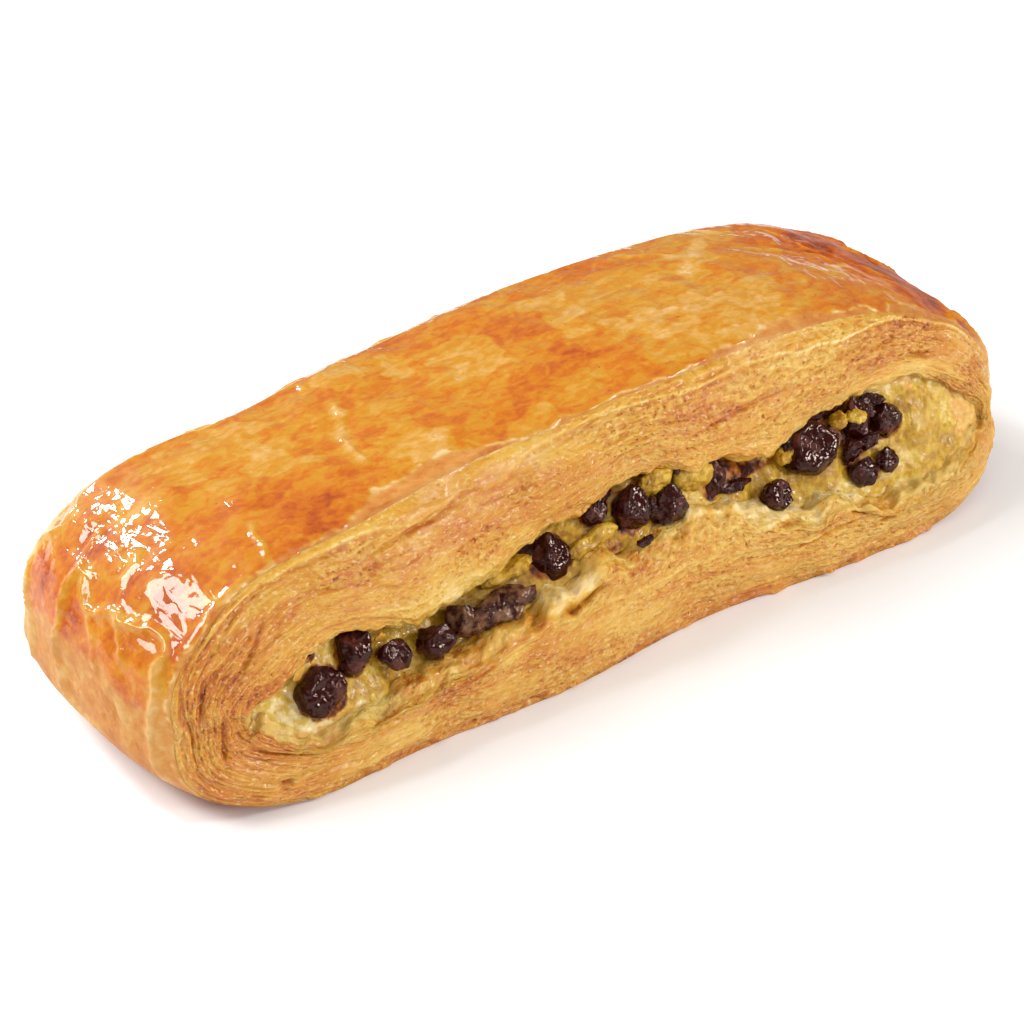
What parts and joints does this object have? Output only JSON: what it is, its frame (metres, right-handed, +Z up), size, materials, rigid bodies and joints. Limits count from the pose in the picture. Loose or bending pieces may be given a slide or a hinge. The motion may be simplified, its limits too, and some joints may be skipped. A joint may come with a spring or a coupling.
{
  "type": "pain suisse pastry",
  "caption": "Glazed oblong pastry of laminated dough folded over a layer of custard and chocolate chips, cut along both long sides so that the layers and the filling show.",
  "frame": {"origin": "middle of the pastry's box on the flat base it rests on", "axes": "+X along the length, +Z up out of the base towards the glazed top, -Y out of the cut face that shows its chips best"},
  "size_m": [0.15, 0.0562, 0.039],
  "materials": {
    "baked_dough": "golden baked layers under a glossy egg glaze",
    "custard_cream": "soft baked custard, slightly glossy",
    "chocolate": "dark chocolate, melted and set, glossy"
  },
  "bodies": {
    "root": {"dough": "baked_dough", "custard": "custard_cream", "chip_01": "chocolate", "chip_02": "chocolate", "chip_03": "chocolate", "chip_04": "chocolate", "chip_05": "chocolate", "chip_06": "chocolate", "chip_07": "chocolate", "chip_08": "chocolate", "chip_09": "chocolate", "chip_10": "chocolate", "chip_11": "chocolate", "chip_12": "chocolate", "chip_13": "chocolate", "chip_14": "chocolate", "chip_15": "chocolate", "chip_16": "chocolate", "chip_17": "chocolate", "chip_18": "chocolate", "chip_19": "chocolate", "chip_20": "chocolate", "chip_21": "chocolate", "chip_22": "chocolate", "chip_23": "chocolate", "chip_24": "chocolate", "chip_25": "chocolate", "chip_26": "chocolate", "chip_27": "chocolate", "chip_28": "chocolate", "chip_29": "chocolate", "chip_30": "chocolate"}
  },
  "joints": []
}
